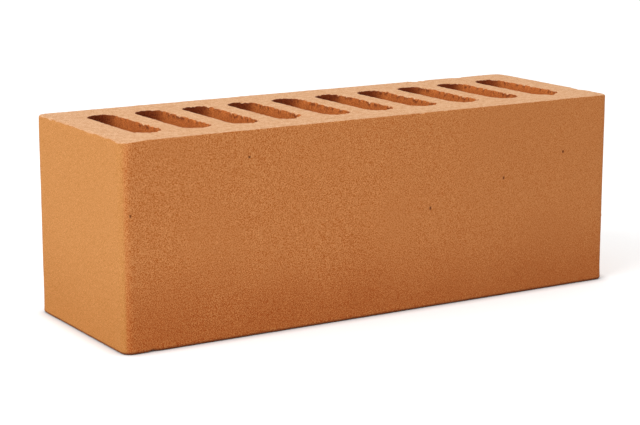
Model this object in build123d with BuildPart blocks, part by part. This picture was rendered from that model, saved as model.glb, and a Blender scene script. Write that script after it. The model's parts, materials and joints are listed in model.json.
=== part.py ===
from build123d import *
import os

# Perforated facing brick in millimetres: +X along its length, +Y across its width, +Z up
# A stiff clay column is pressed through a die, cut to height with a wire, dried and fired
# The origin is at the middle of the lower bed face

# Outer size
brick_length = 250.0
brick_width = 85.0
brick_height = 88.0

# One row of slots, which the core bars of the die leave along the whole height
slot_count = 10
slot_width = 13.5
end_wall = 15.2
side_wall = 16.0

# Edges
corner_radius = 4.5
arris_radius = 1.0
mouth_chamfer = 0.4

# The row fills the length between the end walls, and the slots fill the width between the side walls
slot_pitch = (brick_length - 2 * end_wall - slot_width) / (slot_count - 1)
slot_length = brick_width - 2 * side_wall

os.makedirs("parts", exist_ok=True)

with BuildPart() as clay_brick:
    # The section of the die: a rectangle with eased corners and its row of round-ended slots
    with BuildSketch(Plane.XY):
        outline = Rectangle(brick_length, brick_width)
        fillet(outline.vertices(), radius=corner_radius)
        with GridLocations(slot_pitch, 0, slot_count, 1):
            SlotOverall(slot_length, slot_width, rotation=90, mode=Mode.SUBTRACT)
    extrude(amount=brick_height)

    # The wire leaves two flat bed faces: handling wears their outer edges round
    for bed_face in (clay_brick.faces().sort_by(Axis.Z)[-1], clay_brick.faces().sort_by(Axis.Z)[0]):
        fillet(bed_face.outer_wire().edges(), radius=arris_radius)

    # The mouths of the slots lose their sharp lip
    for bed_face in (clay_brick.faces().sort_by(Axis.Z)[-1], clay_brick.faces().sort_by(Axis.Z)[0]):
        chamfer([edge for mouth in bed_face.inner_wires() for edge in mouth.edges()], length=mouth_chamfer)

clay_brick.part.label = "clay_brick"
export_step(clay_brick.part, "parts/clay_brick.step")

web_thickness = slot_pitch - slot_width
print(f"slots {slot_count}, {slot_length:.1f} x {slot_width:.1f} mm, webs {web_thickness:.2f} mm")
print(f"solid volume {clay_brick.part.volume / 1e6:.4f} litres")
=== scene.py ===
import json
import math
import random

import bmesh
import bpy
from mathutils import Matrix, Vector, kdtree, noise


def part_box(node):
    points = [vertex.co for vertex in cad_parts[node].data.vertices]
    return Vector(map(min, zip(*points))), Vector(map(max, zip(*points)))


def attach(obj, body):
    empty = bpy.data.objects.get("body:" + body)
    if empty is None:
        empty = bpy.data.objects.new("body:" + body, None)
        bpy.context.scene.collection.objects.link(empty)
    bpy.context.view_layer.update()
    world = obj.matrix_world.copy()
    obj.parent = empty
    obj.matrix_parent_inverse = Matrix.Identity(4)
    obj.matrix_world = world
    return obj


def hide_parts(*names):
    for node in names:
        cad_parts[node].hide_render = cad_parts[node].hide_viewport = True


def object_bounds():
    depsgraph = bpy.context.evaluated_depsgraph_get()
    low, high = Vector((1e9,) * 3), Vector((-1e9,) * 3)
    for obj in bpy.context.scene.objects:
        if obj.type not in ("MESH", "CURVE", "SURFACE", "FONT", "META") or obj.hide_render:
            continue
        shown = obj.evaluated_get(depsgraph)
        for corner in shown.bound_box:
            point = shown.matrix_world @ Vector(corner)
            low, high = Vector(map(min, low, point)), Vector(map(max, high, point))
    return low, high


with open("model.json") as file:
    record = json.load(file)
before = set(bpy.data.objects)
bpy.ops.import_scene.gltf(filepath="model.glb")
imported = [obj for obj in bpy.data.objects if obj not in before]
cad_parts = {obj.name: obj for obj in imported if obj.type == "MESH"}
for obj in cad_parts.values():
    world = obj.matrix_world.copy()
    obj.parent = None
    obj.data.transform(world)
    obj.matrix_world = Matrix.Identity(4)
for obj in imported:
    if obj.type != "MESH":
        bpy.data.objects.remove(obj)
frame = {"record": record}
cad_low, cad_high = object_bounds()
mm = 0.001

# The camera
# It looks at the long face and the left end from a little above, with a long lens, as a studio
# camera on a stand does. The frame is 640 by 425.
lens, sensor_width = 105.5, 36.0
camera_place = Vector((-440.2, -704.5, 213.6)) * mm
camera_azimuth, camera_elevation = -31.63, 11.93
camera_data = bpy.data.cameras.new("camera")
camera_data.lens = lens
camera_data.sensor_width = sensor_width
camera = bpy.data.objects.new("camera", camera_data)
camera.matrix_world = (
    Matrix.Translation(camera_place)
    @ Matrix.Rotation(math.radians(camera_azimuth), 4, "Z")
    @ Matrix.Rotation(math.radians(90 - camera_elevation), 4, "X")
)
bpy.context.scene.collection.objects.link(camera)
bpy.context.scene.camera = camera

# The brick
# One piece of fired clay with ten slots through it. A stiff column of clay is pressed through a
# die with ten core bars, a wire cuts it to height, and it is dried, stacked and fired.
low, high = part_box("clay_brick")
length, width, height = high - low
corner_radius = 4.5 * mm
slot_width, slot_length = 13.5 * mm, 53.0 * mm
slot_straight = slot_length - slot_width
openings = frame["record"]["physics"]["openings"]
slot_places = [sum(corner[0] for corner in opening["box_m"]) / 2 for opening in openings]

# The die: its outline with eased corners, and the rings of the core bars, in short edges
outline_step, lip_step = 1.25 * mm, 0.75 * mm
corner_segments, ring_segments = 7, 56


def divide(mesh, edges, step):
    """Cuts each of these edges into pieces of about that length."""
    for edge in edges:
        pieces = round(edge.calc_length() / step)
        if pieces > 1:
            bmesh.ops.subdivide_edges(mesh, edges=[edge], cuts=pieces - 1)


clay = bmesh.new()
outline = Matrix.Diagonal((length, width, 1, 1))
bmesh.ops.create_grid(clay, x_segments=1, y_segments=1, size=0.5, matrix=outline)
bmesh.ops.bevel(
    clay,
    geom=clay.verts[:],
    offset=corner_radius,
    segments=corner_segments,
    profile=0.5,
    affect="VERTICES",
    material=-1,
)
bmesh.ops.delete(clay, geom=clay.faces[:], context="FACES_ONLY")
divide(clay, clay.edges[:], outline_step)
# Each ring is turned by half an edge, so that it parts into two equal tips
half_edge = Matrix.Rotation(math.pi / ring_segments, 4, "Z")
for place in slot_places:
    core_bar = Matrix.Translation((place, 0, 0)) @ half_edge
    ring = bmesh.ops.create_circle(
        clay, segments=ring_segments, radius=slot_width / 2, matrix=core_bar
    )["verts"]
    for tip in (1, -1):
        tip_verts = [vert for vert in ring if vert.co.y * tip > 0]
        bmesh.ops.translate(clay, verts=tip_verts, vec=(0, tip * slot_straight / 2, 0))
    ring_edges = dict.fromkeys(edge for vert in ring for edge in vert.link_edges)
    divide(clay, [edge for edge in ring_edges if edge.calc_length() > slot_straight / 2], lip_step)

# The cut bed: a filled section with narrow collars along its edges and even clay between them.
# The clay inside the collars is marked while it is divided and evened out.
collar_widths = (0.35 * mm, 0.5 * mm, 0.7 * mm, 1.0 * mm)
bed_step, bed_rounds = 2.8 * mm, 6
inner_mark = 1


def inner_faces():
    """The faces of the bed inside its collars."""
    return [face for face in clay.faces if face.material_index == inner_mark]


def within_collars(part):
    """Whether no face of a collar meets this edge or corner."""
    return all(face.material_index == inner_mark for face in part.link_faces)


bmesh.ops.triangle_fill(clay, use_beauty=True, edges=clay.edges[:], normal=(0, 0, 1))
bed = clay.faces[:]
for collar_width in collar_widths:
    bmesh.ops.inset_region(
        clay,
        faces=bed,
        use_boundary=True,
        use_even_offset=True,
        use_interpolate=True,
        thickness=collar_width,
    )
for face in bed:
    face.material_index = inner_mark
for _ in range(bed_rounds):
    edges = dict.fromkeys(edge for face in inner_faces() for edge in face.edges)
    long_edges = [edge for edge in edges if not edge.is_boundary and edge.calc_length() > bed_step]
    bmesh.ops.subdivide_edges(clay, edges=long_edges, cuts=1)
    bmesh.ops.triangulate(clay, faces=inner_faces())
    edges = dict.fromkeys(edge for face in inner_faces() for edge in face.edges)
    inner_edges = [edge for edge in edges if within_collars(edge)]
    bmesh.ops.beautify_fill(clay, faces=inner_faces(), edges=inner_edges)
    verts = dict.fromkeys(vert for face in inner_faces() for vert in face.verts)
    inner_verts = [vert for vert in verts if within_collars(vert)]
    bmesh.ops.smooth_vert(clay, verts=inner_verts, factor=0.5, use_axis_x=True, use_axis_y=True)
for face in clay.faces:
    face.material_index = 0

# The column rises from the lower bed to the upper one, with rows that lie closer near both cuts
side_rows, side_crowding = 72, 1.35
slot_rows, slot_crowding = 14, 2.4
risen = bmesh.ops.extrude_face_region(clay, geom=clay.faces[:])["geom"]
upper_verts = [part for part in risen if isinstance(part, bmesh.types.BMVert)]
bmesh.ops.translate(clay, verts=upper_verts, vec=(0, 0, height))
bmesh.ops.recalc_face_normals(clay, faces=clay.faces[:])


def on_side(edge):
    """Whether an upright edge is on the outer faces of the brick, and not in a slot."""
    point = edge.verts[0].co
    return abs(point.x) > length / 2 - corner_radius or abs(point.y) > width / 2 - corner_radius


upright = [edge for edge in clay.edges if abs(edge.verts[0].co.z - edge.verts[1].co.z) > height / 2]
outer_walls = [edge for edge in upright if on_side(edge)]
slot_walls = [edge for edge in upright if not on_side(edge)]
for walls, rows, crowding in (
    (outer_walls, side_rows, side_crowding),
    (slot_walls, slot_rows, slot_crowding),
):
    cut = bmesh.ops.subdivide_edges(clay, edges=walls, cuts=rows - 1, use_grid_fill=True)
    for vert in (part for part in cut["geom_inner"] if isinstance(part, bmesh.types.BMVert)):
        share = 1 - abs(vert.co.z / height - 0.5) * 2
        depth = height / 2 * share**crowding
        vert.co.z = depth if vert.co.z < height / 2 else height - depth


# Wear: the wire tears the lips of the slots and leaves crumbs, the clay shrinks and waves as it
# dries, and handling rounds the arrises. Each kind has its depth, its size and a seed of its own.
def grain(point, size, seed, stretch=1.0):
    """Smooth noise from -1 to 1 whose bumps are about that size, longer upright by the stretch."""
    shift = Vector((seed, 3 * seed, 7 * seed))
    return noise.noise(Vector((point.x, point.y, point.z / stretch)) / size + shift)


def rounded(inside, from_bed, radius):
    """Moves a point near a sharp edge, given its distances from both faces, onto a round."""
    reach = math.hypot(radius - inside, radius - from_bed)
    if inside >= radius or from_bed >= radius or reach <= radius:
        return inside, from_bed
    share = radius / reach
    return radius - (radius - inside) * share, radius - (radius - from_bed) * share


# The lips of the slots: how wide each mouth is torn in all, and how deep crumbs, frays and bites
# go. The wire tears the right-hand lip of a slot more than the left-hand one.
mouth_spread = [value * mm for value in (-0.2, 0.3, 0.2, 0.2, 0.45, 0.25, 0.35, 0.5, 0.7, 1.2)]
lip_radius, lip_reach, lip_fade = 0.45 * mm, 3.0 * mm, 6.0 * mm
crumb_depth, crumb_width, crumb_rarity = 2.6 * mm, 1.2 * mm, 0.12
fray_depth, fray_width = 0.5 * mm, 2.1 * mm
bite_depth, bite_width = 0.8 * mm, 5.5 * mm
burr_height = 0.2 * mm
chip_one_sided, tear_one_sided = 0.38, 0.4
# The chips of the two beds come from parts of the noise this far apart, so that they differ
beds_apart = 50 * mm
# Tears and gouges widen a mouth near its bed, and streaks run down the whole wall of a slot
tear_depth, tear_size, tear_stretch = 0.55 * mm, 2.0 * mm, 2.0
gouge_depth, gouge_size, gouge_stretch = 0.6 * mm, 5.0 * mm, 3.0
streak_depth, streak_size, streak_stretch = 0.12 * mm, 4.0 * mm, 9.0
# Painted shade: a lip chipped this deep is painted dark along its very edge, as the shade under it
lip_shade_depth, lip_shade_width, lip_shade_height = 0.5 * mm, 0.1 * mm, 1.0 * mm


def lip_dip(point, upper, outward):
    """How far the lip of a slot is chipped down here, or, below zero, stands up as a burr."""
    spot = Vector((point.x, point.y, beds_apart if upper else 0))
    chip = crumb_depth * max(grain(spot, crumb_width, seed=6.0) - crumb_rarity, 0)
    chip += fray_depth * grain(spot, fray_width, seed=8.0)
    chip += bite_depth * max(grain(spot, bite_width, seed=7.0), 0)
    return max(chip, -burr_height) * (1 - chip_one_sided + chip_one_sided * outward.x)


# The outer faces: dried a little smaller than the die, with a slight foot and shallow waves
body_inset, side_reach = 0.35 * mm, 4.0 * mm
foot_width, foot_height = 0.3 * mm, 7.0 * mm
wave_depth, wave_size = 0.12 * mm, 28.0 * mm
ripple_depth, ripple_size = 0.06 * mm, 3.5 * mm
# The arrises: the radius in millimetres, and how much of it comes and goes in patches and specks
arris_wear = {
    "lower": (1.1, 0.3, 0.25),
    "left": (1.15, 0.5, 1.4),
    "back and right": (0.8, 0.5, 0.5),
    "front": (0.45, 0.2, 1.2),
}
patch_size, speck_size = 9.0 * mm, 1.5 * mm
front_speck_rarity = 0.1
# The corner that knocks have worn most
worn_corner = Vector((-length / 2, -width / 2, height))
worn_reach, worn_radius, worn_dip = 14.0 * mm, 7.0 * mm, 1.3 * mm
worn_unevenness, worn_size = 0.4, 2.5 * mm


def from_outline(point, radius):
    """How far a point is inside the outline with corners of that radius, and the way inwards."""
    over_x = abs(point.x) - (length / 2 - radius)
    over_y = abs(point.y) - (width / 2 - radius)
    inside = radius - math.hypot(max(over_x, 0), max(over_y, 0)) - min(max(over_x, over_y), 0)
    if min(over_x, over_y) > 0:
        outward = (over_x, over_y)
    elif over_x > over_y:
        outward = (1, 0)
    else:
        outward = (0, 1)
    out_x, out_y = math.copysign(outward[0], point.x), math.copysign(outward[1], point.y)
    return inside, -Vector((out_x, out_y, 0)).normalized()


def arris_radius(point, upper):
    """The radius that handling has worn on the outer edge of a bed here."""
    patch, speck = grain(point, patch_size, seed=9.0), grain(point, speck_size, seed=4.0)
    if not upper:
        side = "lower"
    elif point.x < -length / 2 + side_reach:
        side = "left"
    elif point.y > width / 2 - side_reach or point.x > length / 2 - side_reach:
        side = "back and right"
    else:
        side = "front"
        speck = max(speck - front_speck_rarity, 0)
    radius, patch_part, speck_part = arris_wear[side]
    return (radius + patch_part * patch + speck_part * speck) * mm


# The beds: the wire leaves them a little uneven, and the upper one lies lower than its burrs
bed_reach, burr_room = 2.0 * mm, 0.2 * mm
hollow_depth, hollow_size = 0.12 * mm, 17.0 * mm
pit_depth, pit_size = 0.08 * mm, 3.0 * mm

# Marks for the slot walls, and for painted shade in the pores and along chipped lips
clay.verts.layers.float.new("slot_wall")
clay.verts.layers.float.new("painted_hollow_shade")
slot_wall, painted_hollow_shade = clay.verts.layers.float["slot_wall"], clay.verts.layers.float["painted_hollow_shade"]
for vert in clay.verts:
    point = vert.co.copy()
    upper = point.z > height / 2
    from_bed = height - point.z if upper else point.z
    # The walls and lips of the nearest slot, by their distance from the line down its middle
    number = min(range(len(slot_places)), key=lambda each: abs(point.x - slot_places[each]))
    line_y = max(-slot_straight / 2, min(slot_straight / 2, point.y))
    from_line = point - Vector((slot_places[number], line_y, point.z))
    across = from_line.length - slot_width / 2
    if across < lip_reach:
        outward = from_line.normalized()
        beside = 1 - across / lip_reach
        near_bed = max(1 - from_bed / lip_fade, 0)
        dip = lip_dip(point, upper, outward) * beside**3
        new_across, new_from_bed = rounded(max(across, 0), from_bed, lip_radius)
        new_from_bed += dip * near_bed
        torn = tear_depth * grain(point, tear_size, seed=1.0, stretch=tear_stretch)
        torn += gouge_depth * grain(point, gouge_size, seed=2.0, stretch=gouge_stretch)
        torn *= 1 - tear_one_sided + tear_one_sided * outward.x
        streak = streak_depth * grain(point, streak_size, seed=5.0, stretch=streak_stretch)
        spread = (mouth_spread[number] / 2 + torn) * near_bed**2
        point += outward * (new_across - across + (spread + streak) * beside)
        point.z = height - new_from_bed if upper else new_from_bed
        vert[slot_wall] = 1.0
        # Painted shade along the very edge of a chipped lip
        if across < lip_shade_width and from_bed < lip_shade_height:
            vert[painted_hollow_shade] = min(max(dip / lip_shade_depth, 0), 1)
    # The outer faces and their arrises
    inside, inward = from_outline(point, corner_radius)
    if inside < side_reach:
        new_inside, new_from_bed = rounded(max(inside, 0), from_bed, arris_radius(point, upper))
        foot = foot_width * max(1 - point.z / foot_height, 0) ** 2
        wave = wave_depth * grain(point, wave_size, seed=11.0)
        wave += ripple_depth * grain(point, ripple_size, seed=12.0)
        inset = (body_inset - foot + wave) * (1 - inside / side_reach)
        point += inward * (new_inside - inside + inset)
        point.z = height - new_from_bed if upper else new_from_bed
    # The worn corner
    worn = max(1 - (vert.co - worn_corner).length / worn_reach, 0) ** 2
    if worn > 0:
        inside, inward = from_outline(point, corner_radius + (worn_radius - corner_radius) * worn)
        point += inward * max(body_inset - inside, 0)
        unevenness = 1 + worn_unevenness * grain(point, worn_size, seed=21.0)
        point.z -= worn * worn_dip * unevenness
    # The beds
    level = burr_room if upper else 0.0
    level += hollow_depth * (0.5 + 0.5 * grain(point, hollow_size, seed=14.0))
    level += pit_depth * abs(grain(point, pit_size, seed=15.0))
    point.z += (-level if upper else level) * max(1 - from_bed / bed_reach, 0)
    vert.co = point

# Knocks: each has its place, its size and the way that the clay is pushed, in millimetres
knocks = (
    ((73.0, 42.5, 88.0), 3.2, (0, -1.1, -0.9)),
    ((77.5, 42.5, 88.0), 2.4, (0, -0.7, -0.5)),
    ((98.5, 42.5, 88.0), 2.8, (0, -0.8, -0.7)),
    ((-112.0, -42.5, 0.0), 2.2, (0, 0.5, 0.7)),
    ((-29.5, -24.5, 88.0), 7.0, (-1.8, 2.8, -0.3)),
    ((103.0, -27.5, 88.0), 3.2, (0, 1.2, -0.7)),
    ((-4.6, 11.5, 86.8), 2.6, (-1.3, 0, 0)),
    ((121.0, -20.0, 88.0), 6.0, (-0.2, 0, -0.5)),
    ((-125.0, 12.0, 88.0), 3.0, (0.7, 0, -0.6)),
    ((-125.0, -14.0, 88.0), 2.6, (0.6, 0, -0.5)),
    ((20.0, -42.5, 88.0), 2.2, (0, 0.4, -0.5)),
    ((-40.0, 42.5, 0.0), 3.0, (0, -0.8, 0.6)),
)
knock_steepness = 1.5
for knock_place, knock_size, push in knocks:
    middle_of_knock, way = Vector(knock_place) * mm, Vector(push) * mm
    for vert in clay.verts:
        nearness = 1 - ((vert.co - middle_of_knock).length / (knock_size * mm)) ** 2
        if nearness > 0:
            vert.co += way * nearness**knock_steepness

# Pores where gas and coarse sand came out, and grains of sand that stand proud. Each is a face of
# the clay near a seeded random spot, on the two sides of the box that lie across an axis.
pick = random.Random(88)
across_length, across_width, across_height = 0, 1, 2
spot_reach = 2.0 * mm
smallest_side_face, smallest_bed_face = 0.9 * mm * mm, 1.2 * mm * mm
side_faces = [
    face
    for face in clay.faces
    if len(face.verts) == 4
    and face.calc_area() > smallest_side_face
    and face.verts[0][slot_wall] == 0
    and abs(face.normal.z) < 0.5
]
bed_faces = [
    face for face in clay.faces if len(face.verts) == 3 and face.calc_area() > smallest_bed_face
]


def scattered(faces, *counts_and_axes):
    """The faces nearest to random spots, with so many spots on the sides across each axis."""
    middles = kdtree.KDTree(len(faces))
    for number, face in enumerate(faces):
        middles.insert(face.calc_center_median(), number)
    middles.balance()
    found = []
    for count, across in counts_and_axes:
        for _ in range(count):
            spot = [pick.uniform(low[axis], high[axis]) for axis in range(3)]
            spot[across] = pick.choice((low[across], high[across]))
            found.append(middles.find(spot))
    return list(dict.fromkeys(faces[number] for _, number, gap in found if gap < spot_reach))


bed_holes = scattered(bed_faces, (115, across_height))
side_holes = scattered(side_faces, (3, across_length), (11, across_width))
side_grains = scattered(side_faces, (38, across_length), (112, across_width))
side_grains = [face for face in side_grains if face not in side_holes]
for spots, rim, rise in (
    (bed_holes, 0.25 * mm, -0.6 * mm),
    (side_holes, 0.36 * mm, -0.35 * mm),
    (side_grains, 0.38 * mm, 0.14 * mm),
):
    bmesh.ops.inset_individual(clay, faces=spots, thickness=rim, depth=rise, use_even_offset=True)
    # The hollow pores are marked for painted shade in them
    if rise < 0:
        for vert in (vert for face in spots for vert in face.verts):
            vert[painted_hollow_shade] = 1.0
# Nothing stands out of the box of the pressed and cut clay
for vert in clay.verts:
    vert.co = [max(cad_low[axis], min(cad_high[axis], vert.co[axis])) for axis in range(3)]

for face in clay.faces:
    face.smooth = True
brick_mesh = bpy.data.meshes.new("fired_brick")
clay.to_mesh(brick_mesh)
clay.free()
brick = bpy.data.objects.new("fired_brick", brick_mesh)
bpy.context.scene.collection.objects.link(brick)
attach(brick, "root")
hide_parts("clay_brick")


# Fired clay: porous, matt and unglazed, with fine sand in it. The faces that slid along the die are
# drawn into a fine wrinkled skin, and the wire-cut beds are open-grained. The beds are paler and
# the ends yellower than the long faces, partly in the clay and partly as painted light from above
# and from the left. Real wrinkles and sand go down to 0.1 mm, too fine to show, so both are drawn
# as coarse as they need to show.
def linear(hex_colour):
    """An sRGB hex colour as linear red, green, blue and alpha."""
    channels = [int(hex_colour[start : start + 2], 16) / 255 for start in (1, 3, 5)]
    return [*(c / 12.92 if c <= 0.04045 else ((c + 0.055) / 1.055) ** 2.4 for c in channels), 1.0]


def add_node(tree, kind, inputs, **settings):
    """Adds a node, with its settings, and fills or links its inputs. It returns the node."""
    node = tree.nodes.new(kind)
    for name, value in settings.items():
        setattr(node, name, value)
    for name, value in inputs.items():
        if isinstance(value, bpy.types.NodeSocket):
            tree.links.new(value, node.inputs[name])
        else:
            node.inputs[name].default_value = value
    return node


wrinkle_size, wrinkle_height, sand_size = 0.37 * mm, 0.2 * mm, 0.22 * mm
crumb_size, cloud_size = 1.7 * mm, 40.0 * mm
wrinkle_slant, wrinkle_squeeze = 0.45, 0.7
wrinkle_share, sand_share = 0.4, 0.6
proud_sand = 0.5
cloud_height = 30 * mm
calmest_grain, calmest_relief = 0.62, 0.45
# How far the painted shade in the pores and along chipped lips darkens the clay
pore_shade_strength = 0.8
clay_roughness, clay_specular = 0.92, 0.18
# The sockets of a Mix node that take and give colours
amount, under, over, mixed = 0, 6, 7, 2

clay_finish = bpy.data.materials.new("fired_clay")
clay_finish.use_nodes = True
tree = clay_finish.node_tree
tree.nodes.clear()
position = add_node(tree, "ShaderNodeTexCoord", {}).outputs["Object"]
normal = add_node(tree, "ShaderNodeNewGeometry", {}).outputs["Normal"]
axes = add_node(tree, "ShaderNodeSeparateXYZ", {"Vector": position}).outputs
facing = add_node(tree, "ShaderNodeSeparateXYZ", {"Vector": normal}).outputs
wall = add_node(tree, "ShaderNodeAttribute", {}, attribute_name="slot_wall").outputs["Fac"]
hole = add_node(tree, "ShaderNodeAttribute", {}, attribute_name="painted_hollow_shade").outputs["Fac"]
drawn = add_node(
    tree,
    "ShaderNodeMapping",
    {
        "Vector": position,
        "Rotation": (0.0, wrinkle_slant, 0.0),
        "Scale": (1.0, 1.0, wrinkle_squeeze),
    },
).outputs[0]

# The patterns: wrinkles that slant as the clay was drawn, sand, crumbs, and broad clouds
patterns = {}
for name, vector, size, detail, roughness in (
    ("wrinkle", drawn, wrinkle_size, 1.0, 0.6),
    ("sand", position, sand_size, 1.0, 0.5),
    ("crumb", position, crumb_size, 2.0, 0.5),
    ("cloud", position, cloud_size, 1.0, 0.4),
):
    patterns[name] = add_node(
        tree,
        "ShaderNodeTexNoise",
        {"Vector": vector, "Scale": 1 / size, "Detail": detail, "Roughness": roughness},
    ).outputs["Fac"]
wrinkle, sand = patterns["wrinkle"], patterns["sand"]

# The values that the looks of the clay follow: wrinkles with sand, the height made wavy by the
# clouds, and the distances from the middle of the brick and along a slot. Then how square a face is
# to each axis.
sand_part = add_node(tree, "ShaderNodeMath", {0: sand, 1: sand_share}, operation="MULTIPLY")
sanded_wrinkle = add_node(
    tree,
    "ShaderNodeMath",
    {0: wrinkle, 1: wrinkle_share, 2: sand_part.outputs[0]},
    operation="MULTIPLY_ADD",
).outputs[0]
cloudy_height = add_node(
    tree,
    "ShaderNodeMath",
    {0: patterns["cloud"], 1: cloud_height, 2: axes["Z"]},
    operation="MULTIPLY_ADD",
).outputs[0]
above_middle = add_node(
    tree, "ShaderNodeMath", {0: axes["Z"], 1: height / 2}, operation="SUBTRACT"
).outputs[0]
from_middle, along_slot, square_to_length, square_to_height = (
    add_node(tree, "ShaderNodeMath", {0: value}, operation="ABSOLUTE").outputs[0]
    for value in (above_middle, axes["Y"], facing["X"], facing["Z"])
)
sandy_bed = add_node(
    tree,
    "ShaderNodeMath",
    {0: sand, 1: proud_sand, 2: square_to_height},
    operation="MULTIPLY_ADD",
).outputs[0]

# How strong each look is, while its value goes from a start to an end. The clay is redder low down,
# calmer and a little darker towards the right end, where the darkening is painted shade. It is
# darker deep in the slots and at their tips as painted shade, and along its foot as a painted
# contact shadow.
looks = {}
for name, value, start, end, at_start, at_end in (
    ("grain", sanded_wrinkle, 0.4, 0.6, -0.5, 0.5),
    ("calm", axes["X"], -30 * mm, 95 * mm, 1.0, calmest_grain),
    # Painted shade: the long faces a little darker towards the right end
    ("right", axes["X"], -30 * mm, 95 * mm, 0.0, 1.0),
    ("low", cloudy_height, 60 * mm, 12 * mm, 0.0, 1.0),
    # Painted shade deep in the slots and at their tips
    ("deep", from_middle, height / 2, height / 2 - 25 * mm, 0.0, 1.0),
    ("tip", along_slot, slot_straight / 2 - 1 * mm, slot_length / 2, 0.0, 1.0),
    ("crumb", patterns["crumb"], 0.3, 0.7, 0.0, 1.0),
    ("end", square_to_length, 0.5, 0.85, 0.0, 1.0),
    ("bed", sandy_bed, 0.9, 1.12, 0.0, 1.0),
    # A painted contact shadow along the foot
    ("foot", axes["Z"], 1.6 * mm, 0.4 * mm, 0.0, 1.0),
):
    looks[name] = add_node(
        tree,
        "ShaderNodeMapRange",
        {"Value": value, "From Min": start, "From Max": end, "To Min": at_start, "To Max": at_end},
        interpolation_type="SMOOTHSTEP",
    ).outputs[0]

# The skins of the clay, each from the colour of its hollows to the colour of its sand
grains = add_node(
    tree,
    "ShaderNodeMath",
    {0: looks["grain"], 1: looks["calm"], 2: 0.5},
    operation="MULTIPLY_ADD",
).outputs[0]
skins = {}
for name, hollow_colour, sand_colour in (
    ("long face", "#B95C16", "#EBA364"),
    ("low long face", "#A74202", "#D98C4C"),
    # The ends are yellower and a little lighter than the long faces, partly as painted light from
    # the left
    ("end", "#C07D3A", "#E09D5F"),
    ("low end", "#B67430", "#D69254"),
    ("slot", "#A64C1A", "#EE9048"),
    # Painted shade deep in the slots, and a darker painted shade at their tips
    ("deep slot", "#8A3C16", "#B65C2A"),
    ("slot tip", "#642008", "#94461C"),
    # The beds are paler, partly from the wire cut and partly as painted light from above
    ("bed", "#CB8E5E", "#F4BC8C"),
    ("bed crumb", "#E2AA7C", "#FFD0A4"),
    # A painted contact shadow along the foot
    ("foot", "#6A3416", "#8E4C26"),
):
    skins[name] = add_node(
        tree,
        "ShaderNodeMix",
        {amount: grains, under: linear(hollow_colour), over: linear(sand_colour)},
        data_type="RGBA",
    ).outputs[mixed]
for name, over_name, look in (
    ("long face", "low long face", "low"),
    ("end", "low end", "low"),
    ("slot", "deep slot", "deep"),
    ("slot", "slot tip", "tip"),
    ("bed", "bed crumb", "crumb"),
):
    skins[name] = add_node(
        tree,
        "ShaderNodeMix",
        {amount: looks[look], under: skins[name], over: skins[over_name]},
        data_type="RGBA",
    ).outputs[mixed]

# The long faces, a little darker to the right as painted shade, with the ends, the slots, the beds,
# the painted contact shadow along the foot and the painted shade in the pores laid over them in
# turn
painted_shade_to_right, pore_shade_colour = "#F7F7F7", "#64240A"
skin = add_node(
    tree,
    "ShaderNodeMix",
    {amount: looks["right"], under: skins["long face"], over: linear(painted_shade_to_right)},
    data_type="RGBA",
    blend_type="MULTIPLY",
).outputs[mixed]
# Painted shade in the pores and along chipped lips
in_pore = add_node(tree, "ShaderNodeMath", {0: hole, 1: pore_shade_strength}, operation="MULTIPLY")
for share, colour in (
    (looks["end"], skins["end"]),
    (wall, skins["slot"]),
    (looks["bed"], skins["bed"]),
    # The painted contact shadow along the foot
    (looks["foot"], skins["foot"]),
    (in_pore.outputs[0], linear(pore_shade_colour)),
):
    skin = add_node(
        tree, "ShaderNodeMix", {amount: share, under: skin, over: colour}, data_type="RGBA"
    ).outputs[mixed]

# The relief of wrinkles and sand, which is shallower on the ends, on the beds and to the right
relief = add_node(
    tree, "ShaderNodeMath", {0: sand, 1: proud_sand, 2: wrinkle}, operation="MULTIPLY_ADD"
).outputs[0]
off_long_face = add_node(
    tree, "ShaderNodeMath", {0: looks["end"], 1: looks["bed"]}, operation="MAXIMUM"
).outputs[0]
smoother = add_node(
    tree,
    "ShaderNodeMapRange",
    {"Value": off_long_face, "To Min": 1.0, "To Max": calmest_relief},
    interpolation_type="SMOOTHSTEP",
).outputs[0]
relief_part = add_node(
    tree, "ShaderNodeMath", {0: smoother, 1: looks["calm"]}, operation="MULTIPLY"
).outputs[0]
relief = add_node(
    tree, "ShaderNodeMath", {0: relief, 1: relief_part}, operation="MULTIPLY"
).outputs[0]
bump = add_node(
    tree, "ShaderNodeBump", {"Height": relief, "Strength": 1.0, "Distance": wrinkle_height}
)
shader = add_node(
    tree,
    "ShaderNodeBsdfPrincipled",
    {
        "Base Color": skin,
        "Roughness": clay_roughness,
        "Specular IOR Level": clay_specular,
        "Normal": bump.outputs["Normal"],
    },
)
add_node(tree, "ShaderNodeOutputMaterial", {"Surface": shader.outputs[0]})
brick_mesh.materials.append(clay_finish)

# The floor and the light
# The brick lies on a plain floor painted white, under an even white sky and one large soft lamp on
# its left. Floor and sky are brought up to white only where the camera sees them.
floor_size = 8.0
floor_mesh = bpy.data.meshes.new("floor")
floor_plane = bmesh.new()
bmesh.ops.create_grid(floor_plane, x_segments=1, y_segments=1, size=floor_size / 2)
floor_plane.to_mesh(floor_mesh)
floor_plane.free()
floor = bpy.data.objects.new("floor", floor_mesh)
bpy.context.scene.collection.objects.link(floor)


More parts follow.
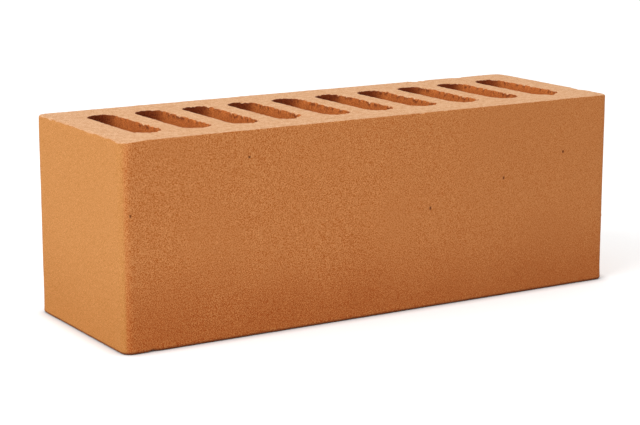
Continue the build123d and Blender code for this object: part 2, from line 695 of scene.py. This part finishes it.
def seen_directly(tree):
    """1 for what the camera sees, also in gloss or glass, and 0 for what lights the brick."""
    rays = add_node(tree, "ShaderNodeLightPath", {}).outputs
    seen = rays["Is Camera Ray"]
    for other in ("Is Glossy Ray", "Is Transmission Ray"):
        seen = add_node(
            tree, "ShaderNodeMath", {0: seen, 1: rays[other]}, operation="MAXIMUM"
        ).outputs[0]
    return seen


# The floor's glow fades where the brick is close, so that the contact shadow stays
floor_colour, floor_glow = "#E7E7E7", 0.45
contact_reach, contact_shade = 6.0 * mm, 0.4
floor_finish = bpy.data.materials.new("floor_paint")
floor_finish.use_nodes = True
tree = floor_finish.node_tree
tree.nodes.clear()
paint = add_node(tree, "ShaderNodeBsdfDiffuse", {"Color": linear(floor_colour)})
clear = add_node(tree, "ShaderNodeAmbientOcclusion", {"Distance": contact_reach}).outputs["AO"]
clear = add_node(
    tree, "ShaderNodeMapRange", {"Value": clear, "From Min": contact_shade, "To Max": floor_glow}
).outputs[0]
glow = add_node(tree, "ShaderNodeMath", {0: seen_directly(tree), 1: clear}, operation="MULTIPLY")
light = add_node(tree, "ShaderNodeEmission", {"Strength": glow.outputs[0]})
both = add_node(tree, "ShaderNodeAddShader", {0: paint.outputs[0], 1: light.outputs[0]})
add_node(tree, "ShaderNodeOutputMaterial", {"Surface": both.outputs[0]})
floor_mesh.materials.append(floor_finish)

sky_light, sky_white = 0.86, 1.0
world = bpy.data.worlds.new("studio")
world.use_nodes = True
tree = world.node_tree
tree.nodes.clear()
strength = add_node(
    tree,
    "ShaderNodeMapRange",
    {"Value": seen_directly(tree), "To Min": sky_light, "To Max": sky_white},
)
sky = add_node(tree, "ShaderNodeBackground", {"Strength": strength.outputs[0]})
add_node(tree, "ShaderNodeOutputWorld", {"Surface": sky.outputs[0]})
bpy.context.scene.world = world

lamp_size, lamp_distance, lamp_watts = 1.2, 2.0, 17.0
lamp_way = Vector((-0.75, -0.15, 0.64)).normalized()
lamp_data = bpy.data.lights.new("soft_lamp", "AREA")
lamp_data.shape = "SQUARE"
lamp_data.size = lamp_size
lamp_data.energy = lamp_watts
lamp = bpy.data.objects.new("soft_lamp", lamp_data)
lamp.location = lamp_way * lamp_distance
lamp.rotation_euler = lamp_way.to_track_quat("Z", "Y").to_euler()
bpy.context.scene.collection.objects.link(lamp)

bpy.context.scene.view_settings.view_transform = "Standard"
